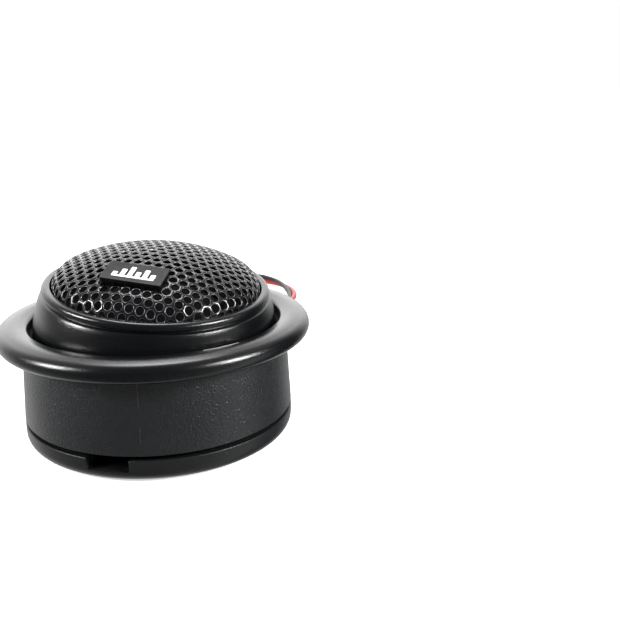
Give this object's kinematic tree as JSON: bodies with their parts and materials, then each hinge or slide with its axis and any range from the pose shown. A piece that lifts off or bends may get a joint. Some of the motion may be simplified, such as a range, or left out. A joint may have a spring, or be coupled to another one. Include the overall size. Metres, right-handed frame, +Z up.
{
  "type": "car tweeter",
  "caption": "Round tweeter with a perforated dome grille, swivelling in a flanged cup that twists off a surface-mounting base, with a short lead.",
  "frame": {"origin": "centre of the base's underside, on the floor", "axes": "+Z up out of the base, -Y towards the cup's front, +X to the right seen from the front"},
  "size_m": [0.06, 0.1469, 0.0367],
  "materials": {
    "grained_plastic": "fine leather grain",
    "satin_plastic": "satin",
    "inner_plastic": "fine matt",
    "painted_metal": "semi-gloss black over punched steel",
    "white_print": "white foil print",
    "plated_steel": "zinc plated",
    "nickel_magnet": "nickel plated neodymium",
    "copper": "copper alloy",
    "felt": "felt",
    "silk": "coated silk",
    "former_foil": "foil",
    "wire_insulation": "soft insulation, one core red"
  },
  "bodies": {
    "base": {"base_plate": "inner_plastic", "cable_clamp": "inner_plastic", "clamp_screw_left": "plated_steel", "clamp_screw_right": "plated_steel", "lead": "wire_insulation"},
    "cup": {"cup_body": "grained_plastic", "flange_ring": "satin_plastic", "friction_ring": "felt"},
    "swivel": {"swivel_ring": "inner_plastic"},
    "core": {"bezel_housing": "satin_plastic", "grille": "painted_metal", "badge_plate": "satin_plastic", "badge_mark": "white_print", "mounting_ring": "inner_plastic", "surround": "silk", "yoke_cup": "plated_steel", "magnet": "nickel_magnet", "pole_plate": "plated_steel", "damping_pad": "felt", "rear_cover": "inner_plastic", "terminal_positive": "copper", "terminal_negative": "copper"},
    "diaphragm": {"dome_diaphragm": "silk", "coil_former": "former_foil", "voice_coil": "copper"}
  },
  "joints": [
    {"name": "cup_twist", "type": "hinge", "parent": "base", "child": "cup", "pos_m": [0, 0, 0.0074], "axis": [0, 0, 1], "range_deg": [0, 32]},
    {"name": "swivel_pan", "type": "hinge", "parent": "cup", "child": "swivel", "pos_m": [0, 0, 0.0196], "axis": [0, 0, 1], "range_deg": [-90, 90]},
    {"name": "swivel_tilt", "type": "hinge", "parent": "swivel", "child": "core", "pos_m": [0, 0, 0.0196], "axis": [0.7071, 0.7071, 0], "range_deg": [-18.65, 5.35]},
    {"name": "diaphragm_travel", "type": "slide", "parent": "core", "child": "diaphragm", "axis": [0.0819, -0.0819, 0.9933], "range_m": [-0.0003, 0.0003], "stiffness_N_per_m": 15000, "deforming": ["surround"]}
  ]
}
